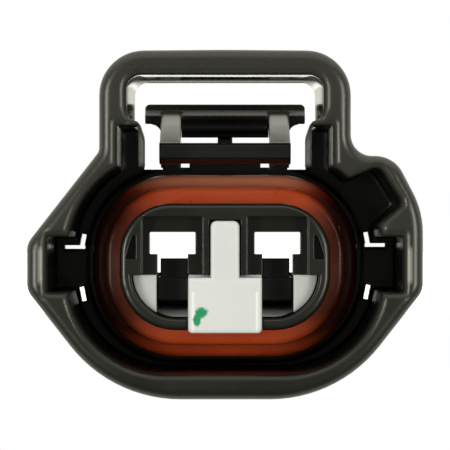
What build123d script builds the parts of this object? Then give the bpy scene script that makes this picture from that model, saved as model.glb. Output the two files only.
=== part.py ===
from build123d import *
import os
from math import radians, tan

# A two way sealed sensor connector, the half that plugs onto the sensor. Sizes are in millimetres.
# X runs across the connector, Z runs up to the latch, and Y runs from the mating face, at zero, back to
# the wire entries. The origin is the mating axis, where the middle of the tower meets the rim's plane.

# Tower, the core that carries the two terminal cavities, half its width apart
tower_width = 12.0
tower_height = 7.2
tower_side_flat = 1.1
tower_round_difference = 0.3
tower_setback = 0.8
tower_edge_round = 0.34
tower_side_wall = 0.66
ring_inner_round = 0.24
chamber_top_z = -0.44
chamber_length = 10.5

# Terminal cavities
recess_width = 3.5
recess_roof = 0.72
recess_depth = 1.1
end_wall = 1.0
slot_width = 2.62
slot_height = 1.26
slot_bottom_z = 0.73
slot_corner = 0.08
service_slot_width = 1.72
channel_width = 3.0
channel_top_rise = 0.07

# Locking lances, moulded with the housing
lance_width = 1.56
lance_beam_width = 1.68
lance_drop = 0.18
lance_flex_gap = 0.31
lance_nose_rise = 1.09
lance_front_y = 3.7
lance_nose_length = 1.9
lance_ramp_length = 1.6
lance_round = 0.1

# Side crescents beside the cavities, in the outer half of the room there
crescent_wall = 0.3
crescent_low_z = 0.42
crescent_height = 1.78
crescent_depth = 0.9
crescent_belly = 1.2

# Socket, the room round the tower for the mating plug
socket_gap_side = 2.97
socket_gap_top = 2.98
socket_gap_bottom = 2.48
socket_depth = 12.0
floor_thickness = 1.2
side_pocket_reach = 1.14
side_pocket_top_z = 1.72
side_pocket_bottom_z = -1.42

# Key pocket at the upper right, which sets which way round the plug goes in
key_top_drop = 0.84
key_top_inset = 0.22
key_side_reach = 1.13
key_inner_reach = 2.35
key_top_angle = 22.5
key_low_angle = 41.6
key_top_round = 0.5
key_side_round = 0.35

# Hood, the wall round the socket
hood_wall_side = 2.28
hood_wall_bottom = 1.44
hood_bottom_flat = 5.1
hood_bottom_radius = 7.93
hood_flank_angle = 52.0
hood_side_round = 1.2
lobe_shelf_drop = 0.26
lobe_inset = 1.65
lobe_angle = 62.5
lobe_foot_round = 1.2
lobe_top_round = 1.75
lobe_side_round = 5.0
shoulder_foot_round = 0.6
rim_round = 0.62
mouth_round = 0.5
mouth_overlap = 0.02
hood_rear_bevel = 0.25

# Latch guard, the arch over the hood, with its ledges and the guide pockets below them
window_inset = 0.42
window_corner = 0.8
arch_wall_side = 1.57
arch_wall_top = 1.38
arch_corner = 2.55
arch_crown = 0.06
arch_crown_radius = 120
ledge_reach = 0.66
ledge_drop = 0.2
ledge_round = 0.3
throat_inset = 1.04
throat_rise = 1.45
throat_relief = 0.28
throat_land_y = 5.0
guide_wall_thickness = 0.38
guide_wall_front_y = 0.35
guide_wall_draft = 0.12
window_lip = 0.18
lip_y = 8.2
lip_thickness = 0.5
pocket_outset = 0.55
pocket_roof = 0.4
pocket_depth_z = 1.58
pocket_corner = 0.2

# Step behind the seal, and the slits through the socket floor beside it
step_rise = 2.1
step_front_y = 9.8
slit_width = 0.28
slit_lean = 11.0
slit_inset = 0.49
slit_top_z = 1.91
slit_bar_z = 1.03
slit_bar_height = 0.21
slit_bar_reach = 1.22
slit_low_top_z = -1.24
slit_low_bottom_z = -2.1
slit_side_rise = 0.06

# Rear body with the two wire entries
rear_length = 14.8
entry_axis_z = 0.8
entry_land = 1.3
entry_wall = 0.75
entry_bore_length = 8.0
entry_throat_step = 0.2
entry_lead_in = 0.35
web_thickness = 3.6
collar_length = 2.4
collar_rise = 0.35
gusset_thickness = 1.0
gusset_length = 4.5
gusset_reach = 5.0

# Seal round the tower
seal_clearance = 0.03
seal_front_y = 5.3
seal_band_rise = 0.97
seal_band_length = 1.5
seal_band_bevel = 0.28
seal_waist_rise = 0.6
seal_rib_rise = 1.73
seal_rib_length = 1.5
seal_rib_bevel = 0.45
seal_groove_length = 0.5
seal_rear_rib_length = 1.35

# Front retainer
retainer_clearance = 0.08
stem_half_width = 0.82
stem_headroom = 0.26
stem_corner = 0.34
foot_side_gap = 0.06
foot_overhang = 0.16
foot_corner = 0.24
foot_plate_thickness = 1.7
retainer_top_gap = 0.02
retainer_front_y = 0.45
retainer_front_round = 0.2
wing_front_y = 1.6
retainer_rear_y = 9.1
prong_floor_thickness = 0.66
prong_ramp_length = 4.0
prong_ramp_drop = 0.7
prong_ramp_round = 0.3

# Latch lever
lever_side_gap = 0.74
lever_step_gap = 0.25
crossbar_front_y = 4.25
crossbar_depth = 1.9
crossbar_height = 1.18
crossbar_round = 0.18
crossbar_bevel = 0.28
bevel_round = 0.12
arm_width = 1.19
arm_thickness = 1.25
arm_end_rise = 0.1
arm_front_rise = 0.06
arm_bend_round = 0.3
arm_shoulder_round = 0.3
leg_half_depth = 0.42
leg_foot_round = 0.41
leg_clearance = 0.08
hinge_y = 10.7
pad_front_y = 13.4
pad_depth = 2.7
pad_side_gap = 0.78
pad_rise = 1.32
pad_height = 1.19
pad_ramp_low_rise = 0.47
pad_ramp_high_rise = 0.83
pad_ramp_depth = 0.5
pad_round = 0.28
pad_wing_round = 0.1
pad_back_round = 0.25
pad_back_rise = 0.3
pad_wall_drop = 0.81
pad_wall_thickness = 0.8
pad_hollow_depth = 0.12
pad_hollow_radius = 1.1
pad_travel = 1.27
web_round = 0.6
web_overlap = 0.06
rib_half_width = 0.44
rib_height = 0.7
rib_back_rise = 0.05
rib_setback = 0.15

# Stop, sill and root blocks on the step, below the lever
stop_side_gap = 0.51
stop_height = 0.45
stop_depth = 0.9
sill_height = 0.09
root_depth_z = 0.3
root_lean = 0.12

# Worked out from the sizes above: across
through = 1.0
mirrored_sides = (-1, 1)
terminal_pitch = tower_width / 2
terminal_xs = (-terminal_pitch / 2, terminal_pitch / 2)
tower_side_x = tower_width / 2
socket_side_x = tower_side_x + socket_gap_side
hood_side_x = socket_side_x + hood_wall_side
lobe_corner_x = hood_side_x - lobe_inset
window_half_width = tower_side_x - window_inset
arch_side_x = window_half_width + arch_wall_side
throat_half_width = window_half_width - throat_inset
guide_wall_outer_x = throat_half_width + guide_wall_thickness
pocket_outer_x = window_half_width + pocket_outset
key_top_x = socket_side_x - key_top_inset
key_side_x = socket_side_x + key_side_reach
slit_x = socket_side_x - slit_inset
slot_half_width = stem_half_width + retainer_clearance
foot_half_width = (terminal_pitch - lance_beam_width) / 2 - foot_side_gap
lever_half_width = throat_half_width - lever_side_gap
arm_inner_x = lever_half_width - arm_width
pad_half_width = window_half_width - pad_side_gap
stop_half_width = arm_inner_x - stop_side_gap
side_room = tower_side_x - (terminal_pitch + recess_width) / 2
crescent_width = side_room / 2
crescent_corner = crescent_width / 6
entry_bore_radius = (terminal_pitch - entry_land) / 2
entry_outer_radius = entry_bore_radius + entry_wall
entry_throat_radius = entry_bore_radius - entry_throat_step
flank = radians(hood_flank_angle)

# Upwards
tower_top_z = tower_height / 2
tower_top_radius = (tower_height - tower_side_flat - tower_round_difference) / 2
tower_bottom_radius = tower_top_radius + tower_round_difference
socket_top_radius = tower_top_radius + socket_gap_side
socket_bottom_radius = socket_top_radius - tower_round_difference
socket_top_z = tower_top_z + socket_gap_top
socket_bottom_z = -tower_top_z - socket_gap_bottom
hood_bottom_z = socket_bottom_z - hood_wall_bottom
shoulder_foot_z = socket_top_z
lobe_shelf_z = socket_top_z - lobe_shelf_drop
key_top_z = socket_top_z - key_top_drop
key_side_z = tower_top_z
step_top_z = tower_top_z + step_rise
hinge_z = step_top_z + leg_clearance + leg_half_depth
crossbar_bottom_z = step_top_z + lever_step_gap
crossbar_top_z = crossbar_bottom_z + crossbar_height
pad_bottom_z = crossbar_top_z + pad_rise
pad_top_z = pad_bottom_z + pad_height
pad_wall_bottom_z = pad_bottom_z - pad_wall_drop
pad_ramp_low_z = pad_bottom_z + pad_ramp_low_rise
pad_ramp_high_z = pad_bottom_z + pad_ramp_high_rise
ledge_z = pad_bottom_z
window_top_z = pad_top_z + pad_travel
arch_top_z = window_top_z + arch_wall_top
throat_top_z = step_top_z + throat_rise
pocket_top_z = ledge_z - pocket_roof
pocket_bottom_z = socket_top_z - pocket_depth_z
recess_top_z = tower_top_z - recess_roof
channel_top_z = slot_bottom_z + slot_height + channel_top_rise
stem_top_z = recess_top_z - stem_headroom
foot_top_z = chamber_top_z - 2 * retainer_clearance
foot_bottom_z = -tower_top_z - foot_overhang
prong_floor_z = -tower_top_z + tower_side_wall + prong_floor_thickness
lance_top_z = chamber_top_z - lance_drop
lance_nose_z = lance_top_z + lance_nose_rise
lance_low_z = prong_floor_z + lance_flex_gap
lance_middle_z = (lance_top_z + lance_low_z) / 2

# Backwards
hood_length = socket_depth + floor_thickness
rear_y = hood_length + rear_length
bore_front_y = rear_y - entry_bore_length
recess_back_y = tower_setback + recess_depth
end_wall_back_y = recess_back_y + end_wall
chamber_back_y = tower_setback + chamber_length
plate_back_y = retainer_front_y + foot_plate_thickness
lance_nose_back_y = lance_front_y + lance_nose_length
seal_band_end_y = seal_front_y + seal_band_length
crossbar_back_y = crossbar_front_y + crossbar_depth
root_back_y = hinge_y - leg_half_depth - leg_clearance
pad_back_y = pad_front_y + pad_depth


def slab(outline, front, back):
    """An outline in the XZ plane, extruded from one depth back to another."""
    return extrude(Plane.XZ.offset(-front) * outline, amount=front - back)


def opening(outline, face_y, back, radius):
    """A cutter for an opening in a front face, with a mouth that rounds outwards to that face."""
    around = Rectangle(4 * arch_top_z, 4 * arch_top_z)
    front = face_y - mouth_overlap
    frame = slab(around, front, back) - slab(outline, front - through, back + through)
    frame = fillet(frame.faces().sort_by(Axis.Y)[0].inner_wires()[0].edges(), radius)
    return slab(around, front, back) - frame


def rounded(corners):
    """A closed outline from its corners, each given as x, z and the radius there."""
    points = [(x, z) for x, z, _ in corners]
    radii = [radius for _, _, radius in corners]
    return make_face(FilletPolyline(*points, radius=radii, close=True))


def mirrored(corners):
    """A closed outline that is alike left and right, from the corners of its right half."""
    return rounded(corners + [(-x, z, radius) for x, z, radius in reversed(corners)])


def side_block(corners, low_x, high_x):
    """A profile of y, z and radius in the YZ plane, extruded from one x to another."""
    return extrude(Plane.YZ.offset(low_x) * rounded(corners), amount=high_x - low_x)


def panel(x, low_z, high_z, width, corner=0):
    """A rectangle in the XZ plane, centred on x, from one height to another."""
    height = high_z - low_z
    shape = RectangleRounded(width, height, corner) if corner else Rectangle(width, height)
    return Pos(x, low_z + height / 2) * shape


def tower_outline():
    """The tower seen from the front, with larger corners below than above."""
    return mirrored(
        [
            (tower_side_x, -tower_top_z, tower_bottom_radius),
            (tower_side_x, tower_top_z, tower_top_radius),
        ]
    )


def hood_outline():
    """The outside of the hood with the latch guard on top and the key lobe at the upper right."""
    flank_x = hood_bottom_flat / 2 + hood_bottom_radius * tan(flank / 2)
    flank_z = hood_bottom_z + (hood_side_x - flank_x) * tan(flank)
    shoulder_z = shoulder_foot_z - (hood_side_x - arch_side_x) * tan(flank)
    lobe_side_z = lobe_shelf_z - (hood_side_x - lobe_corner_x) * tan(radians(lobe_angle))
    return rounded(
        [
            (-flank_x, hood_bottom_z, hood_bottom_radius),
            (flank_x, hood_bottom_z, hood_bottom_radius),
            (hood_side_x, flank_z, hood_side_round),
            (hood_side_x, lobe_side_z, lobe_side_round),
            (lobe_corner_x, lobe_shelf_z, lobe_top_round),
            (arch_side_x, lobe_shelf_z, lobe_foot_round),
            (arch_side_x, arch_top_z, arch_corner),
            (0, arch_top_z + arch_crown, arch_crown_radius),
            (-arch_side_x, arch_top_z, arch_corner),
            (-arch_side_x, shoulder_foot_z, shoulder_foot_round),
            (-hood_side_x, shoulder_z, hood_side_round),
            (-hood_side_x, flank_z, hood_side_round),
        ]
    )


def key_pocket():
    """The keyed corner of the socket, which runs back into its round wall."""
    top_slope = tan(radians(key_top_angle))
    low_slope = tan(radians(key_low_angle))
    return rounded(
        [
            (key_top_x - key_inner_reach, key_top_z - key_inner_reach * top_slope, pocket_corner),
            (key_top_x, key_top_z, key_top_round),
            (key_side_x, key_side_z, key_side_round),
            (key_side_x - key_inner_reach, key_side_z - key_inner_reach * low_slope, pocket_corner),
        ]
    )


def socket_outlines():
    """The shapes that open the socket: its round wall, its side and guide pockets and the key pocket."""
    round_wall = mirrored(
        [
            (socket_side_x, socket_bottom_z, socket_bottom_radius),
            (socket_side_x, socket_top_z, socket_top_radius),
        ]
    )
    side_width = 2 * (socket_side_x + side_pocket_reach)
    side_pockets = panel(0, side_pocket_bottom_z, side_pocket_top_z, side_width)
    guide_pockets = panel(0, pocket_bottom_z, pocket_top_z, 2 * pocket_outer_x)
    return [round_wall, side_pockets, guide_pockets, key_pocket()]


def guide_walls():
    """The two short, drafted walls between the guide pockets and the throat, each hung from its ledge."""
    walls = []
    for side in mirrored_sides:
        plan = make_face(
            Polyline(
                (side * throat_half_width, guide_wall_front_y),
                (side * guide_wall_outer_x, guide_wall_front_y),
                (side * guide_wall_outer_x, throat_land_y),
                (side * (throat_half_width + guide_wall_draft), throat_land_y),
                close=True,
            )
        )
        walls.append(extrude(Plane.XY.offset(step_top_z) * plan, amount=pocket_top_z - step_top_z))
    return walls


def window_outline(relief, lip):
    """The window of the latch guard, its throat wider by the relief and its frame narrower by the lip."""
    throat_x = throat_half_width + relief
    frame_x = window_half_width - lip
    return mirrored(
        [
            (throat_x, step_top_z, 0),
            (throat_x, throat_top_z, ledge_round),
            (frame_x - ledge_reach + relief, ledge_z - ledge_drop, ledge_round),
            (frame_x, ledge_z, ledge_round),
            (frame_x, window_top_z - lip, window_corner),
        ]
    )


def window_cuts():
    """The window in depths: its mouth, the wider throat behind it, a thin lip all round, and the back."""
    upper = panel(0, ledge_z, window_top_z, 2 * window_half_width, window_corner)
    return [
        opening(upper, 0, throat_land_y, mouth_round),
        slab(window_outline(0, 0), -through, throat_land_y),
        slab(window_outline(throat_relief, 0), throat_land_y, lip_y),
        slab(window_outline(throat_relief, window_lip), lip_y, lip_y + lip_thickness),
        slab(window_outline(throat_relief, 0), lip_y + lip_thickness, hood_length + through),
    ]


def floor_slits():
    """The four see-through slits where the socket floor meets the step, the upper two bent outwards."""
    slits = []
    upper_height = slit_top_z - slit_bar_z
    lower_height = slit_low_top_z - slit_low_bottom_z
    bar_middle_x = slit_x + slit_bar_reach / 2 - slit_width / 2
    for side in mirrored_sides:
        bar_z = slit_bar_z + side * slit_side_rise
        upper = Pos(side * slit_x, bar_z + upper_height / 2) * Rot(0, 0, side * slit_lean)
        bar = panel(side * bar_middle_x, bar_z, bar_z + slit_bar_height, slit_bar_reach)
        slits.append(upper * Rectangle(slit_width, upper_height) + bar)
        low_z = slit_low_bottom_z + side * slit_side_rise
        lower = Pos(side * slit_x, low_z + lower_height / 2) * Rot(0, 0, -side * slit_lean)
        slits.append(lower * Rectangle(slit_width, lower_height))
    return slits


def hood():
    """The hood and latch guard as one rounded block, hollowed for the plug and for the lever."""
    block = slab(hood_outline(), 0, hood_length)
    block = fillet(block.faces().sort_by(Axis.Y)[0].edges(), rim_round)
    block = chamfer(block.faces().sort_by(Axis.Y)[-1].edges(), hood_rear_bevel)
    for outline in socket_outlines():
        block -= opening(outline, 0, socket_depth, mouth_round)
    for wall in guide_walls():
        block += wall
    for cut in window_cuts():
        block -= cut
    for slit in floor_slits():
        block -= slab(slit, socket_depth - through, hood_length + through)
    return block


def tower():
    """The tower with its rounded front edge and the step that stops the seal."""
    core = slab(tower_outline(), tower_setback, hood_length)
    core = fillet(core.faces().sort_by(Axis.Y)[0].edges(), tower_edge_round)
    step = slab(offset(tower_outline(), step_rise), step_front_y, hood_length)
    return core + step


def rear_body():
    """Two merged tubes behind the hood, with a collar at the end and gussets up to the hood."""
    outline = Pos(0, entry_axis_z) * Rectangle(terminal_pitch, web_thickness)
    for x in terminal_xs:
        outline += Pos(x, entry_axis_z) * Circle(entry_outer_radius)
    body = slab(outline, hood_length, rear_y)
    body += slab(offset(outline, collar_rise), rear_y - collar_length, rear_y)
    for side in mirrored_sides:
        root_x = side * (terminal_pitch / 2)
        tip_x = side * (terminal_pitch / 2 + gusset_reach)
        profile = make_face(
            Polyline(
                (root_x, hood_length),
                (tip_x, hood_length),
                (root_x, hood_length + gusset_length),
                close=True,
            )
        )
        low_plane = Plane.XY.offset(entry_axis_z - gusset_thickness / 2)
        body += extrude(low_plane * profile, amount=gusset_thickness)
    return body


def cavity_cuts(x):
    """Everything that is cut for one terminal, from its front recess back to its wire entry."""
    low_z = chamber_top_z - through
    slot_top_z = slot_bottom_z + slot_height
    recess = panel(x, low_z, recess_top_z, recess_width, slot_corner)
    cuts = [slab(recess, tower_setback - through, recess_back_y)]
    slot = panel(x, slot_bottom_z, slot_top_z, slot_width, slot_corner)
    cuts.append(slab(slot, tower_setback, end_wall_back_y))
    service = panel(x, low_z, slot_bottom_z + slot_height / 2, service_slot_width)
    cuts.append(slab(service, tower_setback, end_wall_back_y))
    channel = panel(x, chamber_top_z, channel_top_z, channel_width)
    cuts.append(slab(channel, end_wall_back_y, hood_length))
    throat = Pos(x, entry_axis_z) * Circle(entry_throat_radius)
    cuts.append(slab(throat, hood_length, bore_front_y))
    bore = Pos(x, entry_axis_z) * Circle(entry_bore_radius)
    cuts.append(slab(bore, bore_front_y, rear_y + through))
    mouth = Pos(x, entry_axis_z) * Circle(entry_bore_radius + entry_lead_in)
    cuts.append(extrude(Plane.XZ.offset(-rear_y) * mouth, amount=entry_lead_in, taper=45))
    return cuts


def chamber():
    """The round bottomed room below the cavities, with a rounded mouth inside the tower's ring."""
    inside = offset(tower_outline(), -tower_side_wall)
    room = opening(inside, tower_setback, chamber_back_y, ring_inner_round)
    below = panel(0, -tower_height, chamber_top_z, 2 * tower_width)
    return room & slab(below, tower_setback - through, chamber_back_y)


def crescent(side):
    """The shallow crescent between the tower's ring and the wall of the cavity recess."""
    outer_x = tower_side_x - crescent_wall
    inner_x = outer_x - crescent_width
    belly_z = crescent_low_z + crescent_height * 3 / 5
    return rounded(
        [
            (side * inner_x, crescent_low_z, crescent_corner),
            (side * outer_x, crescent_low_z, crescent_corner),
            (side * (outer_x - crescent_width / 2), belly_z, crescent_belly),
            (side * inner_x, crescent_low_z + crescent_height, crescent_corner),
        ]
    )


def lance(side):
    """One locking lance: a beam from the back of the chamber with a nose that rises behind the end wall."""
    x = side * terminal_pitch / 2
    nose_x = x - side * (lance_beam_width - lance_width) / 2
    beam = side_block(
        [
            (lance_front_y, lance_low_z, lance_round),
            (chamber_back_y + through, lance_low_z, 0),
            (chamber_back_y + through, lance_top_z, 0),
            (lance_front_y, lance_top_z, lance_round),
        ],
        x - lance_beam_width / 2,
        x + lance_beam_width / 2,
    )
    nose = side_block(
        [
            (lance_front_y + lance_round, lance_middle_z, 0),
            (lance_nose_back_y + lance_ramp_length, lance_middle_z, 0),
            (lance_nose_back_y + lance_ramp_length, lance_top_z, 0),
            (lance_nose_back_y, lance_nose_z, lance_round),
            (lance_front_y + lance_round, lance_nose_z, lance_round),
        ],
        nose_x - lance_width / 2,
        nose_x + lance_width / 2,
    )
    return beam + nose


def leg_roots():
    """The low sill across the step and the two blocks on it, which stand in front of the lever's legs."""
    low_z = step_top_z - root_depth_z
    sill = panel(0, low_z, step_top_z + sill_height, 2 * lever_half_width - 2 * root_lean)
    roots = slab(sill, step_front_y, root_back_y)
    for side in mirrored_sides:
        face = make_face(
            Polyline(
                (side * arm_inner_x, low_z),
                (side * (lever_half_width - root_lean), low_z),
                (side * (lever_half_width - root_lean), step_top_z),
                (side * lever_half_width, hinge_z),
                (side * arm_inner_x, hinge_z),
                close=True,
            )
        )
        roots += slab(face, step_front_y, root_back_y)
    return roots


def make_housing():
    """The one moulding: hood, tower, rear body, cavities and lances."""
    body = hood() + tower() + rear_body()
    stop = panel(0, step_top_z - stop_height, step_top_z + stop_height, 2 * stop_half_width)
    body += slab(stop, step_front_y, step_front_y + stop_depth)
    body += leg_roots()
    body -= chamber()
    stem_room_z = stem_top_z + retainer_clearance
    stem_slot = panel(0, chamber_top_z - through, stem_room_z, 2 * slot_half_width)
    body -= slab(stem_slot, tower_setback - through, retainer_rear_y + retainer_clearance)
    notch_half_width = foot_half_width + retainer_clearance
    notch = panel(0, foot_bottom_z - through, chamber_top_z - through, 2 * notch_half_width)
    body -= slab(notch, tower_setback - through, plate_back_y + retainer_clearance)
    for side in mirrored_sides:
        body -= slab(crescent(side), tower_setback - through, tower_setback + crescent_depth)
    for x in terminal_xs:
        for cut in cavity_cuts(x):
            body -= cut
    for side in mirrored_sides:
        body += lance(side)
    return body


def make_seal():
    """The silicone seal: a smooth band in front and two bevelled ribs behind it, all round the tower."""
    tower_face = tower_outline()
    bore = offset(tower_face, seal_clearance)
    ring = slab(offset(tower_face, seal_band_rise), seal_front_y, seal_band_end_y)
    ring = chamfer(ring.faces().sort_by(Axis.Y)[0].edges(), seal_band_bevel)
    ring += slab(offset(tower_face, seal_waist_rise), seal_band_end_y, step_front_y)
    front_rib_y = seal_band_end_y + seal_groove_length
    rear_rib_y = step_front_y - seal_rear_rib_length
    for front, back in ((front_rib_y, front_rib_y + seal_rib_length), (rear_rib_y, step_front_y)):
        rib = slab(offset(tower_face, seal_rib_rise), front, back)
        rib = chamfer(rib.faces().sort_by(Axis.Y)[0].edges(), seal_rib_bevel)
        ring += rib
    return ring - slab(bore, seal_front_y - through, step_front_y + through)


def make_retainer():
    """The white retainer: stem and foot in front, and behind them the prongs that block the lances."""
    face = mirrored(
        [
            (foot_half_width, foot_bottom_z, foot_corner),
            (foot_half_width, foot_top_z, 0),
            (stem_half_width, foot_top_z, 0),
            (stem_half_width, stem_top_z, stem_corner),
        ]
    )
    body = slab(face, retainer_front_y, plate_back_y)
    body = fillet(body.faces().sort_by(Axis.Y)[0].edges(), retainer_front_round)
    inside = offset(tower_outline(), -tower_side_wall - retainer_clearance)
    section = inside & panel(0, -tower_height, chamber_top_z - retainer_top_gap, tower_width)
    stem = panel(0, foot_top_z, stem_top_z, 2 * stem_half_width)
    core = panel(0, -tower_height, tower_height, 2 * foot_half_width - 2 * retainer_clearance)
    body += slab((section & core) + stem, plate_back_y, retainer_rear_y)
    prongs = slab(section, wing_front_y, retainer_rear_y)
    lance_room = lance_beam_width + 2 * retainer_clearance
    for x in terminal_xs:
        prongs -= side_block(
            [
                (wing_front_y - through, prong_floor_z - prong_ramp_drop, 0),
                (wing_front_y, prong_floor_z - prong_ramp_drop, 0),
                (wing_front_y + prong_ramp_length, prong_floor_z, prong_ramp_round),
                (retainer_rear_y + through, prong_floor_z, 0),
                (retainer_rear_y + through, tower_top_z, 0),
                (wing_front_y - through, tower_top_z, 0),
            ],
            x - lance_room / 2,
            x + lance_room / 2,
        )
    return body + prongs


def catch_bar():
    """The bar in front that snaps over the mating plug, bevelled along its lower front edge."""
    return side_block(
        [
            (crossbar_front_y, crossbar_bottom_z + crossbar_bevel, bevel_round),
            (crossbar_front_y + 2 * crossbar_bevel, crossbar_bottom_z, bevel_round),
            (crossbar_back_y, crossbar_bottom_z, crossbar_round),
            (crossbar_back_y, crossbar_top_z, 0),
            (crossbar_front_y, crossbar_top_z, crossbar_round),
        ],
        -lever_half_width,
        lever_half_width,
    )


def lever_arm(side):
    """One arm, rising from the catch bar to the thumb pad, with its flexible leg and a web under the pad."""
    bar_middle_y = (crossbar_front_y + crossbar_back_y) / 2
    low_x = min(side * arm_inner_x, side * lever_half_width)
    high_x = low_x + arm_width
    end_y = pad_front_y + pad_depth / 3
    end_top_z = pad_ramp_high_z + arm_end_rise
    front_view = rounded(
        [
            (side * arm_inner_x, end_top_z, 0),
            (side * arm_inner_x, step_top_z, 0),
            (side * lever_half_width, step_top_z, 0),
            (side * lever_half_width, end_top_z, arm_shoulder_round),
        ]
    )
    arm = side_block(
        [
            (bar_middle_y, crossbar_top_z - arm_thickness / 2, 0),
            (crossbar_back_y, crossbar_top_z - arm_thickness, arm_bend_round),
            (pad_front_y, pad_bottom_z - arm_thickness / 4, arm_bend_round),
            (end_y, pad_bottom_z + arm_thickness / 4, 0),
            (end_y, end_top_z, 0),
            (crossbar_back_y, crossbar_top_z + arm_front_rise, arm_bend_round),
            (bar_middle_y, crossbar_top_z - arm_front_rise, 0),
        ],
        low_x,
        high_x,
    )
    arm &= slab(front_view, crossbar_front_y, pad_back_y)
    leg_foot_z = hinge_z - leg_half_depth
    leg_top_z = crossbar_top_z + arm_thickness / 2
    leg = side_block(
        [
            (hinge_y - leg_half_depth, leg_foot_z, leg_foot_round),
            (hinge_y + leg_half_depth, leg_foot_z, leg_foot_round),
            (hinge_y + leg_half_depth, leg_top_z, 0),
            (hinge_y - leg_half_depth, leg_top_z, 0),
        ],
        low_x,
        high_x,
    )
    web_middle_x = side * (lever_half_width + web_round / 2 - web_overlap / 2)
    web_low_z = pad_bottom_z - web_round
    web = panel(web_middle_x, web_low_z, pad_bottom_z + web_overlap, web_round + web_overlap)
    hollow_x = side * (lever_half_width + web_round + web_overlap / 2)
    web -= Pos(hollow_x, web_low_z - web_overlap / 2) * Circle(web_round)
    return arm + leg + slab(web, pad_front_y, end_y)


def thumb_pad():
    """The pad behind, with a ramp along its front and a wall that closes the frame between the arms."""
    front_view = mirrored(
        [
            (pad_half_width, pad_bottom_z, pad_wing_round),
            (pad_half_width, pad_top_z, pad_round),
        ]
    )
    pad = slab(front_view, pad_front_y, pad_back_y)
    reach = pad_half_width + through
    above_ramp = [
        (pad_front_y - through, pad_ramp_low_z, 0),
        (pad_front_y, pad_ramp_low_z, 0),
        (pad_front_y + pad_ramp_depth, pad_ramp_high_z, 0),
        (pad_front_y + pad_ramp_depth, pad_top_z + through, 0),
        (pad_front_y - through, pad_top_z + through, 0),
    ]
    pad -= side_block(above_ramp, -reach, reach)
    underside_end_y = pad_back_y - pad_depth / 3
    below_back = [
        (underside_end_y, pad_bottom_z - through, 0),
        (pad_back_y + through, pad_bottom_z - through, 0),
        (pad_back_y + through, pad_bottom_z + pad_back_rise, 0),
        (pad_back_y, pad_bottom_z + pad_back_rise, 0),
        (underside_end_y, pad_bottom_z, 0),
    ]
    pad -= side_block(below_back, -reach, reach)
    top_back = pad.edges().filter_by(Axis.X).group_by(Axis.Z)[-1].sort_by(Axis.Y)[-1]
    pad = fillet(top_back, pad_back_round)
    wall_top_z = (pad_bottom_z + pad_ramp_low_z) / 2
    wall = side_block(
        [
            (pad_front_y, pad_wall_bottom_z, pad_wing_round),
            (pad_front_y + pad_wall_thickness, pad_wall_bottom_z, pad_wing_round),
            (pad_front_y + pad_wall_thickness, wall_top_z, 0),
            (pad_front_y, wall_top_z, 0),
        ],
        -arm_inner_x,
        arm_inner_x,
    )
    hollow_y = pad_front_y + pad_hollow_depth - pad_hollow_radius
    hollow = Pos(hollow_y, (pad_wall_bottom_z + pad_ramp_low_z) / 2) * Circle(pad_hollow_radius)
    return pad + wall - extrude(Plane.YZ.offset(-arm_inner_x) * hollow, amount=2 * arm_inner_x)


def centre_rib():
    """The rib in the middle of the frame, which runs back from the catch bar and up behind the pad's wall."""
    front_y = crossbar_back_y - crossbar_depth / 4
    back_y = pad_front_y + pad_wall_thickness / 2
    rib_bottom_z = crossbar_top_z - rib_height
    rib_top_z = crossbar_top_z + rib_back_rise
    wall_middle_z = (pad_wall_bottom_z + pad_bottom_z) / 2
    return side_block(
        [
            (front_y, rib_bottom_z, 0),
            (front_y, crossbar_top_z - rib_back_rise, 0),
            (pad_front_y + rib_setback, rib_top_z, 0),
            (pad_front_y + rib_setback, wall_middle_z, 0),
            (back_y, wall_middle_z, 0),
            (back_y, rib_bottom_z, 0),
        ],
        -rib_half_width,
        rib_half_width,
    )


def make_lever():
    """The latch lever: a catch bar in front, two arms on flexible legs, and the thumb pad behind."""
    lever = catch_bar() + thumb_pad() + centre_rib()
    for side in mirrored_sides:
        lever += lever_arm(side)
    return lever


def write(name, shape):
    """Write one piece to its own file."""
    export_step(shape, os.path.join("parts", name + ".step"))


os.makedirs("parts", exist_ok=True)
write("housing", make_housing())
write("seal_ring", make_seal())
write("front_retainer", make_retainer())
write("latch_lever", make_lever())
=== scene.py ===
import math

import bpy
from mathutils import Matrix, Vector


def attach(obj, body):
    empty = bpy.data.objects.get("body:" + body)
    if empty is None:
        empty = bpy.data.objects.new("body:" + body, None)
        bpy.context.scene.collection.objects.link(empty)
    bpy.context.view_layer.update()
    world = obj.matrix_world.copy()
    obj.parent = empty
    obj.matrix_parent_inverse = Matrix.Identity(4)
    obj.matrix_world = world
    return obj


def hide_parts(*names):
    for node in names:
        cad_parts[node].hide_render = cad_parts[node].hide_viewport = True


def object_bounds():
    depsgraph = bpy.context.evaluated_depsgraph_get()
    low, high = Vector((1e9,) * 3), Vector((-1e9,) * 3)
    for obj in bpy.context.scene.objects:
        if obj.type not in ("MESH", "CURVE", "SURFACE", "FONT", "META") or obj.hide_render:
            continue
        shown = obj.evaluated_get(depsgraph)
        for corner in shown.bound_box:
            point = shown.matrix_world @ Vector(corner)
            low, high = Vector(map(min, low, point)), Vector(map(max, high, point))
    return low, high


# A two way sealed sensor connector, seen square on into its mating face. All lengths are in metres.
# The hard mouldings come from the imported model. This script gives them their finishes, models the
# soft seal and the drafted lining of the latch window, and sets up the light, floor and camera.

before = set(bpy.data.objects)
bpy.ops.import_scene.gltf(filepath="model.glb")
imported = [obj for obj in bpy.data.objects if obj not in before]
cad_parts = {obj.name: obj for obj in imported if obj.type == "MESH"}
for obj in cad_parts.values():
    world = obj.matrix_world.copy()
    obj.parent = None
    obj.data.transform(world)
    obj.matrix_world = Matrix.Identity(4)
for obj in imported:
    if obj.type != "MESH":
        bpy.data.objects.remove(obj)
cad_low, cad_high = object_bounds()
bpy.ops.object.select_all(action="DESELECT")

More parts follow.
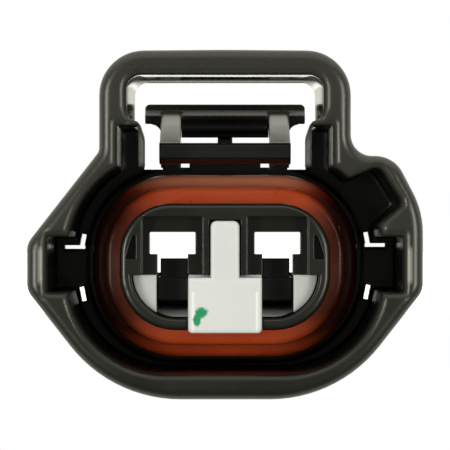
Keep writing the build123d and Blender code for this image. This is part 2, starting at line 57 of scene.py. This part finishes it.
# The tower that the seal sits on, and the gap between it and the seal's bore
tower_width = 0.012
tower_height = 0.0072
tower_top_radius = 0.0029
tower_bottom_radius = 0.0032
seal_clearance = 0.00003

# The seal. A rise is how far a lobe stands out from the tower's outline.
seal_front_y = 0.0053
seal_rear_y = 0.0098
band_length = 0.0015
band_rise = 0.00097
band_round = 0.00038
waist_rise = 0.0006
rib_rise = 0.00173
rib_round = 0.0006
front_rib_y = 0.0073
front_rib_length = 0.0015
rear_rib_y = 0.00845
rear_rib_length = 0.00135

# The latch window's lining, inside the hard moulding's own window. A core cuts its hollow, and
# closes in towards the rear: at its sides by a factor, at its top by a length.
window_half_width = 0.00558
window_top_z = 0.01093
window_corner = 0.0008
lining_depth = 0.00005
lining_low_z = 0.0083
lining_upper_z = lining_low_z + 0.001
lining_front_y = 0.0006
lip_front_y = 0.0082
lip_length = 0.0005
lip_slope_length = 0.0018
side_draw = 0.958
top_draw = 0.00004
lip_side_draw = 0.991
lip_top_draw = 0.00015
core_lead = 0.0003
core_drop = 0.001

# How the new pieces are shaped
corner_steps = 14
rim_steps = 5
tolerance = 0.00001
smooth_angle = math.radians(32)

# Where the finishes change. A fade is a pair of lengths, from where it starts to where it ends.
tower_margin = 0.0002
tower_edge_radius = 0.0001
# Painted shade: the hood's black is painted darker over this depth into it
housing_depth_fade = (0.0009, 0.0022)
# Painted highlight: two short upright stretches of the rim painted lighter, where the rim would
# reflect the lamps
painted_highlight_x = 0.01050
painted_highlight_z = 0.0001
painted_highlight_side_fade = (0.00005, 0.00019)
painted_highlight_end_fade = (0.0008, 0.00115)
painted_highlight_depth_fade = (0.0007, 0.0010)
# Painted shade: the seal's ends painted darker, where the lamps don't reach
seal_painted_shade_fade = (0.0046, 0.0066)
# Painted sheen: the seal's top painted paler
seal_painted_sheen_fade = (0.0044, 0.0050)
# Painted shade: the retainer is painted darker over this depth into the tower
wing_depth_fade = (0.0010, 0.0018)
# Painted highlights just inside the rounded edges of the retainer's foot
painted_foot_highlight_x = 0.00181
painted_foot_highlight_z = -0.00370
painted_foot_highlight_top_z = -0.0014
painted_foot_highlight_fade = (0.00003, 0.00009)

# The centre and half sizes of each blot of ink on the retainer, and its edge as a share of them
ink_blots = (
    ((-0.00134, 0.0006, -0.00258), (0.00037, 0.0012, 0.00030)),
    ((-0.00158, 0.0006, -0.00302), (0.00022, 0.0012, 0.00036)),
)
ink_fade = (1.25, 1.65)

# Values without a length that the finishes use. Nearly all of a noise pattern is in its reach.
noise_reach = (0.3, 0.7)
rising = (0.0, 1.0)
falling = (1.0, 0.0)
drawn_facing = (0.1, 0.4)
drawn_roughness = (1.0, 0.45)
drawn_relief = (1.0, 0.1)
# How much of the painted top light, the upper part painted lighter, each patch gets
painted_top_light_patches = (0.55, 1.0)
speck_radius = 0.16
# How strong the seal's painted sheen is
painted_sheen_strength = 0.5
edge_samples = 8

# Camera
camera_distance = 0.225
camera_height = 0.00239
view_width = 0.0255
sensor_width = 36.0

# Floor and room. The table is darker near the connector, and the room is dim in front of it. The
# room's reaches are stretches of a direction's Y, from front to rear, and of its Z, upwards.
floor_front_y = -0.06
floor_rear_y = 1.5
floor_width = 3.0
floor_fade = (0.004, 0.022)
floor_seen_strength = 0.97
room_depth_reach = (-0.35, 0.12)
room_depth_strength = (0.13, 1.0)
room_top_reach = (0.45, 0.75)
room_top_strength = (0.0, 1.1)

# The two lamps, one on each side of the camera
lamp_azimuth = 38
lamp_distance = 0.42
lamp_width = 0.14
lamp_height = 0.20
left_radiance = 10.4
right_radiance = 8.9
lamp_colour = (1.0, 0.985, 0.88)


def colour(red, green, blue):
    """A colour for a socket, from its three linear values."""
    return (red, green, blue, 1.0)


# A painted highlight on two stretches of the black rim
black_painted_highlight = colour(0.26, 0.255, 0.22)
black_dust = colour(0.10, 0.10, 0.095)
silicone_dark = colour(0.42, 0.045, 0.010)
silicone_bright = colour(0.58, 0.085, 0.020)
# Painted shade at the seal's ends
silicone_painted_shade = colour(0.12, 0.018, 0.008)
# A painted pale sheen on the seal's top
silicone_painted_sheen = colour(0.60, 0.34, 0.22)
silicone_dust = colour(0.75, 0.5, 0.35)
natural_dull = colour(0.70, 0.725, 0.75)
natural_bright = colour(0.76, 0.785, 0.81)
# Painted shade on the retainer deeper in
natural_depth_shade = colour(0.50, 0.52, 0.53)
# Painted highlights on the retainer's foot
natural_painted_highlight = colour(0.92, 0.94, 0.96)
ink_green = colour(0.0, 0.31, 0.12)
floor_near = colour(0.05, 0.05, 0.05)
floor_far = colour(0.85, 0.85, 0.85)
room_lit = colour(1.0, 0.975, 0.86)
room_seen = colour(1.0, 1.0, 1.0)


# Nodes

def connect(tree, given, socket):
    """Feeds a socket from another one, or sets it to a plain value."""
    if isinstance(given, bpy.types.NodeSocket):
        tree.links.new(given, socket)
    else:
        socket.default_value = given


def feed(tree, node, values):
    """Feeds a node's inputs by their names, each from a socket or with a plain value."""
    for name, given in values.items():
        connect(tree, given, node.inputs[name])


def coordinates(tree, kind="Object"):
    """The place of a point, as Blender's coordinates of that kind."""
    return tree.nodes.new("ShaderNodeTexCoord").outputs[kind]


def split(tree, vector):
    """The X, Y and Z of a vector."""
    parts = tree.nodes.new("ShaderNodeSeparateXYZ")
    tree.links.new(vector, parts.inputs["Vector"])
    return parts.outputs


def calculate(tree, operation, first, second=0.0):
    """A value from two others, each given as a socket or as a number."""
    step = tree.nodes.new("ShaderNodeMath")
    step.operation = operation
    connect(tree, first, step.inputs[0])
    connect(tree, second, step.inputs[1])
    return step.outputs[0]


def calculate_vector(tree, operation, output, first, second=(0.0, 0.0, 0.0)):
    """The named output of a step with vectors, each given as a socket or as three numbers."""
    step = tree.nodes.new("ShaderNodeVectorMath")
    step.operation = operation
    connect(tree, first, step.inputs[0])
    connect(tree, second, step.inputs[1])
    return step.outputs[output]


def spread_values(tree, value, reach, results=rising):
    """A value that goes from one result to the other while the given one covers its reach."""
    spread = tree.nodes.new("ShaderNodeMapRange")
    feed(tree, spread, {
        "Value": value,
        "From Min": reach[0],
        "From Max": reach[1],
        "To Min": results[0],
        "To Max": results[1],
    })
    return spread.outputs["Result"]


def near(tree, value, middle, fade):
    """A mask that is full round a middle value and fades away on both sides of it."""
    off = calculate(tree, "ABSOLUTE", calculate(tree, "SUBTRACT", value, middle))
    return spread_values(tree, off, fade, falling)


def mix_colours(tree, factor, first, second):
    """A colour that goes from first to second as the factor's value rises."""
    mix = tree.nodes.new("ShaderNodeMix")
    mix.data_type = "RGBA"
    feed(tree, mix, {"Factor": factor, "A": first, "B": second})
    return mix.outputs["Result"]


def noise(tree, place, scale, detail, roughness=0.5):
    """The value of a noise pattern."""
    pattern = tree.nodes.new("ShaderNodeTexNoise")
    feed(tree, pattern, {"Vector": place, "Scale": scale, "Detail": detail, "Roughness": roughness})
    return pattern.outputs["Fac"]


def soft_edges(tree, height, bump_distance, edge_radius):
    """Normals with a bump from a height, rounded over the moulding's sharp edges."""
    edges = tree.nodes.new("ShaderNodeBevel")
    edges.samples = edge_samples
    feed(tree, edges, {"Radius": edge_radius})
    bump = tree.nodes.new("ShaderNodeBump")
    feed(tree, bump, {
        "Height": height,
        "Distance": bump_distance,
        "Normal": edges.outputs["Normal"],
    })
    return bump.outputs["Normal"]


# Effects that more than one material uses

def new_group(name, inputs, outputs):
    """An empty shader node group with its sockets, all for numbers. Inputs have usual values."""
    group = bpy.data.node_groups.new(name, "ShaderNodeTree")
    for socket_name, value in inputs.items():
        socket = group.interface.new_socket(
            socket_name, in_out="INPUT", socket_type="NodeSocketFloat"
        )
        socket.default_value = value
    for socket_name in outputs:
        group.interface.new_socket(socket_name, in_out="OUTPUT", socket_type="NodeSocketFloat")
    return group, group.nodes.new("NodeGroupInput").outputs, group.nodes.new("NodeGroupOutput")


def add_group(tree, group, values):
    """Places a group in a material with its own values, and gives its outputs."""
    node = tree.nodes.new("ShaderNodeGroup")
    node.node_tree = group
    feed(tree, node, values)
    return node.outputs


def moulded_surface_group():
    """The skin of a moulding: a fine spark texture, faint flow clouds, and scattered specks."""
    group, given, made = new_group(
        "moulded_surface",
        {"Grain Scale": 7000.0, "Cloud Scale": 260.0, "Speck Scale": 900.0, "Speck Amount": 0.03},
        ("Height", "Clouds", "Specks"),
    )
    place = coordinates(group)
    specks = group.nodes.new("ShaderNodeTexVoronoi")
    feed(group, specks, {"Vector": place, "Scale": given["Speck Scale"]})
    pick = group.nodes.new("ShaderNodeSeparateColor")
    feed(group, pick, {"Color": specks.outputs["Color"]})
    small = calculate(group, "LESS_THAN", specks.outputs["Distance"], speck_radius)
    picked = calculate(group, "LESS_THAN", pick.outputs["Red"], given["Speck Amount"])
    feed(group, made, {
        "Height": noise(group, place, given["Grain Scale"], detail=3.0, roughness=0.6),
        "Clouds": noise(group, place, given["Cloud Scale"], detail=4.0),
        "Specks": calculate(group, "MULTIPLY", small, picked),
    })
    return group


def black_painted_light_and_polish_group():
    """Masks over the black mouldings, by place.

    The painted top light lies on their upper part but not on the tower, more in some patches:
    the upper part is painted lighter, standing in for light from above. The painted highlight is
    two short upright stretches of the rim, painted lighter where the rim would reflect the lamps.
    Drawn is all walls from front to rear at the latch window's height, inner and outer, which slid
    along the mould and came out smooth. Tower is the centre tower, whose edges are crisper than
    the hood's.
    """
    group, given, made = new_group(
        "black_painted_light_and_polish",
        {"Painted Top Light Low Z": 0.0, "Painted Top Light High Z": 1.0, "Patches": 1.0},
        ("Painted Top Light", "Painted Highlight", "Drawn", "Tower"),
    )
    spot = split(group, coordinates(group))
    across = calculate(group, "ABSOLUTE", spot["X"])
    up = calculate(group, "ABSOLUTE", spot["Z"])
    near_x = calculate(group, "LESS_THAN", across, tower_width / 2 + tower_margin)
    near_z = calculate(group, "LESS_THAN", up, tower_height / 2 + tower_margin)
    tower = calculate(group, "MULTIPLY", near_x, near_z)

    high = spread_values(group, spot["Z"], (given["Painted Top Light Low Z"], given["Painted Top Light High Z"]))
    outside = calculate(group, "SUBTRACT", 1.0, tower)
    high_outside = calculate(group, "MULTIPLY", high, outside)

    beside = near(group, across, painted_highlight_x, painted_highlight_side_fade)
    along = near(group, spot["Z"], painted_highlight_z, painted_highlight_end_fade)
    front = spread_values(group, spot["Y"], painted_highlight_depth_fade, falling)
    stretch = calculate(group, "MULTIPLY", beside, along)

    facing = calculate(group, "ABSOLUTE", split(group, coordinates(group, "Normal"))["Y"])
    side_on = spread_values(group, facing, drawn_facing, falling)
    window_height = calculate(group, "GREATER_THAN", spot["Z"], lining_low_z)

    feed(group, made, {
        "Painted Top Light": calculate(group, "MULTIPLY", high_outside, given["Patches"]),
        "Painted Highlight": calculate(group, "MULTIPLY", stretch, front),
        "Drawn": calculate(group, "MULTIPLY", side_on, window_height),
        "Tower": tower,
    })
    return group


moulded_surface = moulded_surface_group()
black_painted_light_and_polish = black_painted_light_and_polish_group()


# Materials

def new_material(name):
    """A material, with its node tree and its Principled shader."""
    material = bpy.data.materials.new(name)
    material.use_nodes = True
    return material, material.node_tree, material.node_tree.nodes["Principled BSDF"]


def black_nylon(name, dark, pale, painted_top_light, painted_top_light_fade, roughness, edge_radius, index, depth_shade=None):
    """Black glass filled nylon, satin, with faint clouds of fibre and specks of dust, its upper
    part painted lighter for light from above, painted highlights on the rim and, where a depth
    shade is given, painted shade deeper in.
    """
    material, tree, shader = new_material(name)
    skin = add_group(tree, moulded_surface, {})
    painted_light_and_polish = add_group(tree, black_painted_light_and_polish, {
        "Painted Top Light Low Z": painted_top_light_fade[0],
        "Painted Top Light High Z": painted_top_light_fade[1],
        "Patches": spread_values(tree, skin["Height"], noise_reach, painted_top_light_patches),
    })
    body = mix_colours(tree, skin["Clouds"], dark, pale)
    # Painted light: the upper part painted lighter, standing in for light from above
    body = mix_colours(tree, painted_light_and_polish["Painted Top Light"], body, painted_top_light)
    # Painted highlight: two stretches of the rim painted lighter, where the rim would reflect the
    # lamps
    body = mix_colours(tree, painted_light_and_polish["Painted Highlight"], body, black_painted_highlight)
    # Painted shade: darker deeper into the hood
    if depth_shade:
        deep = spread_values(tree, split(tree, coordinates(tree))["Y"], housing_depth_fade)
        body = mix_colours(tree, deep, body, depth_shade)
    gloss = spread_values(tree, skin["Clouds"], noise_reach, roughness)
    polish = spread_values(tree, painted_light_and_polish["Drawn"], rising, drawn_roughness)
    relief = spread_values(tree, painted_light_and_polish["Drawn"], rising, drawn_relief)
    height = calculate(tree, "MULTIPLY", skin["Height"], relief)
    radius = spread_values(tree, painted_light_and_polish["Tower"], rising, (edge_radius, tower_edge_radius))
    feed(tree, shader, {
        "Base Color": mix_colours(tree, skin["Specks"], body, black_dust),
        "Roughness": calculate(tree, "MULTIPLY", gloss, polish),
        "Normal": soft_edges(tree, height, bump_distance=0.000004, edge_radius=radius),
        "IOR": index,
    })
    return material


def silicone_rubber(name):
    """Orange red silicone, slightly oily, so its gloss is uneven, with a painted pale sheen on top
    and painted shade at its ends.
    """
    material, tree, shader = new_material(name)
    skin = add_group(tree, moulded_surface, {"Grain Scale": 3500.0, "Cloud Scale": 420.0})
    spot = split(tree, coordinates(tree))
    # Painted shade: the seal's ends darker, where the lamps don't reach
    ends = spread_values(tree, calculate(tree, "ABSOLUTE", spot["X"]), seal_painted_shade_fade)
    # Painted sheen: the seal's top painted paler
    top = spread_values(tree, spot["Z"], seal_painted_sheen_fade)
    painted_sheen = calculate(tree, "MULTIPLY", top, painted_sheen_strength)
    body = mix_colours(tree, skin["Clouds"], silicone_dark, silicone_bright)
    body = mix_colours(tree, ends, body, silicone_painted_shade)
    body = mix_colours(tree, painted_sheen, body, silicone_painted_sheen)
    feed(tree, shader, {
        "Base Color": mix_colours(tree, skin["Specks"], body, silicone_dust),
        "Roughness": spread_values(tree, skin["Clouds"], noise_reach, (0.22, 0.42)),
        "Normal": soft_edges(tree, skin["Height"], bump_distance=0.000010, edge_radius=0.00008),
        "IOR": 1.42,
        "Subsurface Weight": 0.15,
        "Subsurface Scale": 0.0006,
        "Subsurface Radius": (1.0, 0.25, 0.1),
    })
    return material


def ink_blot(tree, place, edge, middle, half_size):
    """A mask over one blot of ink, ragged by the edge's value."""
    shift = calculate_vector(tree, "SUBTRACT", "Vector", place, middle)
    share = calculate_vector(tree, "DIVIDE", "Vector", shift, half_size)
    reach = calculate_vector(tree, "LENGTH", "Value", share)
    return spread_values(tree, calculate(tree, "ADD", reach, edge), ink_fade, falling)


def painted_foot_highlights(tree, spot):
    """A mask over the painted highlights just inside the rounded edges of the retainer's foot."""
    across = calculate(tree, "ABSOLUTE", spot["X"])
    beside = near(tree, across, painted_foot_highlight_x, painted_foot_highlight_fade)
    low = calculate(tree, "LESS_THAN", spot["Z"], painted_foot_highlight_top_z)
    beneath = near(tree, spot["Z"], painted_foot_highlight_z, painted_foot_highlight_fade)
    return calculate(tree, "MAXIMUM", calculate(tree, "MULTIPLY", beside, low), beneath)


def white_nylon(name):
    """Natural white nylon, a little see-through, satin, with an inspector's green ink mark."""
    material, tree, shader = new_material(name)
    skin = add_group(tree, moulded_surface, {"Speck Amount": 0.01})
    place = coordinates(tree)
    spot = split(tree, place)
    smudge = noise(tree, place, scale=5200.0, detail=3.0)
    blots = [ink_blot(tree, place, smudge, *blot) for blot in ink_blots]
    ink = calculate(tree, "MAXIMUM", *blots)
    deep = spread_values(tree, spot["Y"], wing_depth_fade)
    body = mix_colours(tree, skin["Clouds"], natural_dull, natural_bright)
    # Painted shade: darker deeper in
    body = mix_colours(tree, deep, body, natural_depth_shade)
    # Painted highlights along the foot's rounded edges
    body = mix_colours(tree, painted_foot_highlights(tree, spot), body, natural_painted_highlight)
    feed(tree, shader, {
        "Base Color": mix_colours(tree, ink, body, ink_green),
        "Roughness": spread_values(tree, skin["Clouds"], noise_reach, (0.34, 0.5)),
        "Normal": soft_edges(tree, skin["Height"], bump_distance=0.000003, edge_radius=0.0002),
        "IOR": 1.53,
        "Subsurface Weight": 0.3,
        "Subsurface Scale": 0.0006,
        "Subsurface Radius": (1.0, 0.9, 0.75),
    })
    return material


housing_nylon = black_nylon(
    "housing_nylon",
    dark=colour(0.007, 0.0075, 0.006),
    pale=colour(0.013, 0.0137, 0.011),
    # Painted light from above: the upper part of the housing painted lighter
    painted_top_light=colour(0.036, 0.036, 0.031),
    painted_top_light_fade=(-0.007, 0.005),
    roughness=(0.24, 0.34),
    edge_radius=0.0004,
    index=1.53,
    # Painted shade deeper into the hood
    depth_shade=colour(0.004, 0.0044, 0.0036),
)
lever_nylon = black_nylon(
    "lever_nylon",
    dark=colour(0.004, 0.0044, 0.0036),
    pale=colour(0.007, 0.0075, 0.006),
    # Painted light from above: the pad's top painted lighter
    painted_top_light=colour(0.060, 0.059, 0.048),
    painted_top_light_fade=(0.0074, 0.0092),
    roughness=(0.20, 0.28),
    edge_radius=0.0003,
    index=1.7,
)
seal_silicone = silicone_rubber("seal_silicone")
retainer_nylon = white_nylon("retainer_nylon")


def dress(piece, material):
    """Gives a piece its material."""
    piece.data.materials.clear()
    piece.data.materials.append(material)


dress(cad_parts["housing"], housing_nylon)
dress(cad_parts["latch_lever"], lever_nylon)
dress(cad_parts["front_retainer"], retainer_nylon)


# Shaping by hand

def add_block(width, front_y, rear_y, low_z, top_z):
    """A block across the middle of the connector."""
    bpy.ops.mesh.primitive_cube_add(
        size=1,
        location=(0, (front_y + rear_y) / 2, (low_z + top_z) / 2),
        scale=(width, rear_y - front_y, top_z - low_z),
    )
    block = bpy.context.active_object
    bpy.ops.object.transform_apply(location=True, rotation=True, scale=True)
    return block


def choose(piece, kind, chosen):
    """Selects the points, edges or faces that pass the test, and leaves the piece in edit mode."""
    kinds = ("points", "edges", "faces")
    bpy.ops.object.mode_set(mode="EDIT")
    bpy.context.tool_settings.mesh_select_mode = [kind == each for each in kinds]
    bpy.ops.mesh.select_all(action="DESELECT")
    bpy.ops.object.mode_set(mode="OBJECT")
    parts = (piece.data.vertices, piece.data.edges, piece.data.polygons)[kinds.index(kind)]
    for part in parts:
        part.select = chosen(part)
    bpy.ops.object.mode_set(mode="EDIT")


def runs_back(first, second):
    """Whether an edge between two points runs towards the rear, and not across."""
    return abs(first.y - second.y) > tolerance


def round_edges(piece, chosen, radius, steps):
    """Rounds the edges whose two ends pass the test."""
    def ends_pass(edge):
        first, second = (piece.data.vertices[end].co for end in edge.vertices)
        return chosen(first, second)

    choose(piece, "edges", ends_pass)
    bpy.ops.mesh.bevel(offset=radius, segments=steps, affect="EDGES")
    bpy.ops.object.mode_set(mode="OBJECT")


def combine(solid, other, operation):
    """Joins another solid to this one, or cuts it away, and removes the other."""
    step = solid.modifiers.new("combine", "BOOLEAN")
    step.operation = operation
    step.solver = "EXACT"
    step.object = other
    bpy.ops.object.select_all(action="DESELECT")
    bpy.context.view_layer.objects.active = solid
    bpy.ops.object.modifier_apply(modifier=step.name)
    bpy.data.objects.remove(other)


def smooth(piece):
    """Shades a finished piece smooth over its rounded edges."""
    bpy.ops.object.select_all(action="DESELECT")
    piece.select_set(True)
    bpy.context.view_layer.objects.active = piece
    bpy.ops.object.shade_smooth_by_angle(angle=smooth_angle)
    bpy.ops.object.select_all(action="DESELECT")


# The seal, modelled as a row of rounded lobes on one sleeve

def seal_lobe(front_y, length, rise, rim_round):
    """One lobe of the seal, a block that stands out from the tower's outline by its rise."""
    top_z = tower_height / 2 + rise
    lobe = add_block(tower_width + 2 * rise, front_y, front_y + length, -top_z, top_z)
    round_edges(
        lobe, lambda a, b: runs_back(a, b) and a.z > 0, tower_top_radius + rise, corner_steps
    )
    round_edges(
        lobe, lambda a, b: runs_back(a, b) and a.z < 0, tower_bottom_radius + rise, corner_steps
    )
    if rim_round:
        round_edges(lobe, lambda a, b: not runs_back(a, b), rim_round, rim_steps)
    return lobe


def soft_seal():
    """The silicone seal: a front band, a waist and two ribs, bored to slip over the tower."""
    seal_length = seal_rear_y - seal_front_y
    seal = seal_lobe(seal_front_y + band_round, seal_length - 2 * band_round, waist_rise, 0)
    for front_y, length, rise, rim_round in (
        (seal_front_y, band_length, band_rise, band_round),
        (front_rib_y, front_rib_length, rib_rise, rib_round),
        (rear_rib_y, rear_rib_length, rib_rise, rib_round),
    ):
        combine(seal, seal_lobe(front_y, length, rise, rim_round), "UNION")
    bore = seal_lobe(seal_front_y - seal_length / 2, 2 * seal_length, seal_clearance, 0)
    combine(seal, bore, "DIFFERENCE")
    seal.name = "soft_seal"
    smooth(seal)
    dress(seal, seal_silicone)
    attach(seal, "housing")
    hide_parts("seal_ring")


soft_seal()


# The drafted lining of the latch window, which the solids leave straight with a thin lip

def pull_rear(block, face_y, narrower, lower):
    """Narrows the face at that depth by a factor in width, and lowers its top."""
    choose(block, "points", lambda point: abs(point.co.y - face_y) < tolerance)
    bpy.ops.transform.resize(value=(narrower, 1, 1), center_override=(0, 0, 0))
    choose(
        block,
        "points",
        lambda point: abs(point.co.y - face_y) < tolerance and point.co.z > lining_upper_z,
    )
    bpy.ops.transform.translate(value=(0, 0, -lower))
    bpy.ops.object.mode_set(mode="OBJECT")


def push_out(block, face_y, length):
    """Extrudes the face at that depth towards the rear."""
    choose(block, "faces", lambda face: abs(face.center.y - face_y) < tolerance)
    bpy.ops.mesh.extrude_region_move(TRANSFORM_OT_translate={"value": (0, length, 0)})
    bpy.ops.object.mode_set(mode="OBJECT")


def round_window_corners(block, radius):
    """Rounds a block's two upper edges from front to rear."""
    round_edges(
        block,
        lambda a, b: runs_back(a, b) and min(a.z, b.z) > lining_upper_z,
        radius,
        corner_steps,
    )


def window_lining():
    """The inside of the latch window: its sides and top close in towards the lip, as drawn."""
    slope_front_y = lip_front_y - lip_slope_length
    lining = add_block(
        2 * (window_half_width + lining_depth),
        lining_front_y,
        lip_front_y + lip_length,
        lining_low_z,
        window_top_z + lining_depth,
    )
    round_window_corners(lining, window_corner + lining_depth)
    core = add_block(
        2 * window_half_width,
        lining_front_y - core_lead,
        slope_front_y,
        lining_low_z - core_drop,
        window_top_z,
    )
    pull_rear(core, slope_front_y, side_draw, top_draw)
    push_out(core, slope_front_y, lip_slope_length)
    pull_rear(core, lip_front_y, lip_side_draw, lip_top_draw)
    push_out(core, lip_front_y, 2 * lip_length)
    round_window_corners(core, window_corner)
    combine(lining, core, "DIFFERENCE")
    lining.name = "window_lining"
    smooth(lining)
    dress(lining, housing_nylon)
    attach(lining, "housing")


window_lining()


# Stage, light and camera

def pale_floor():
    """A white table under the connector, which looks white to the camera and keeps the shadow."""
    bpy.ops.mesh.primitive_plane_add(
        size=1,
        location=(0, (floor_front_y + floor_rear_y) / 2, cad_low.z),
        scale=(floor_width, floor_rear_y - floor_front_y, 1),
    )
    floor = bpy.context.active_object
    floor.name = "floor"
    bpy.ops.object.transform_apply(location=True, rotation=True, scale=True)
    material, tree, shader = new_material("white_table")
    behind = spread_values(tree, split(tree, coordinates(tree))["Y"], floor_fade)
    feed(tree, shader, {
        "Base Color": mix_colours(tree, behind, floor_near, floor_far),
        "Roughness": 0.9,
        "Specular IOR Level": 0.1,
    })
    rays = tree.nodes.new("ShaderNodeLightPath").outputs
    seen = calculate(tree, "MULTIPLY", rays["Is Camera Ray"], floor_seen_strength)
    mirrored = calculate(tree, "MULTIPLY", rays["Is Glossy Ray"], behind)
    white = tree.nodes.new("ShaderNodeEmission")
    feed(tree, white, {"Strength": calculate(tree, "ADD", seen, mirrored)})
    both = tree.nodes.new("ShaderNodeAddShader")
    tree.links.new(shader.outputs["BSDF"], both.inputs[0])
    tree.links.new(white.outputs["Emission"], both.inputs[1])
    tree.links.new(both.outputs["Shader"], tree.nodes["Material Output"].inputs["Surface"])
    dress(floor, material)


def white_room():
    """A room, white to the camera and behind the connector, dim in front and pale overhead."""
    world = bpy.data.worlds.new("white_room")
    bpy.context.scene.world = world
    world.use_nodes = True
    tree = world.node_tree
    way = split(tree, coordinates(tree, "Generated"))
    behind = spread_values(tree, way["Y"], room_depth_reach, room_depth_strength)
    overhead = spread_values(tree, way["Z"], room_top_reach, room_top_strength)
    lit = tree.nodes["Background"]
    feed(tree, lit, {"Color": room_lit, "Strength": calculate(tree, "MAXIMUM", behind, overhead)})
    seen = tree.nodes.new("ShaderNodeBackground")
    feed(tree, seen, {"Color": room_seen})
    mix = tree.nodes.new("ShaderNodeMixShader")
    rays = tree.nodes.new("ShaderNodeLightPath")
    feed(tree, mix, {"Fac": rays.outputs["Is Camera Ray"]})
    tree.links.new(lit.outputs["Background"], mix.inputs[1])
    tree.links.new(seen.outputs["Background"], mix.inputs[2])
    tree.links.new(mix.outputs["Shader"], tree.nodes["World Output"].inputs["Surface"])


def softbox(name, azimuth, radiance):
    """A soft rectangular lamp, turned from the camera's side by its azimuth, facing the part."""
    turn = math.radians(azimuth)
    place = Vector((lamp_distance * math.sin(turn), -lamp_distance * math.cos(turn), 0.0))
    bpy.ops.object.light_add(type="AREA", location=place)
    lamp = bpy.context.active_object
    lamp.name = name
    lamp.data.shape = "RECTANGLE"
    lamp.data.size = lamp_width
    lamp.data.size_y = lamp_height
    lamp.data.energy = radiance * math.pi * lamp_width * lamp_height
    lamp.data.color = lamp_colour
    lamp.rotation_euler = (-place).to_track_quat("-Z", "Y").to_euler()


def set_camera():
    """A long lens, square on to the mating face."""
    data = bpy.data.cameras.new("camera")
    data.sensor_width = sensor_width
    data.lens = sensor_width * camera_distance / view_width
    data.clip_start = 0.01
    data.clip_end = 20.0
    camera = bpy.data.objects.new("camera", data)
    bpy.context.scene.collection.objects.link(camera)
    camera.location = (0, -camera_distance, camera_height)
    camera.rotation_euler = (math.radians(90), 0, 0)
    bpy.context.scene.camera = camera


pale_floor()
white_room()
softbox("left_lamp", -lamp_azimuth, left_radiance)
softbox("right_lamp", lamp_azimuth, right_radiance)
set_camera()
bpy.context.scene.view_settings.view_transform = "Standard"
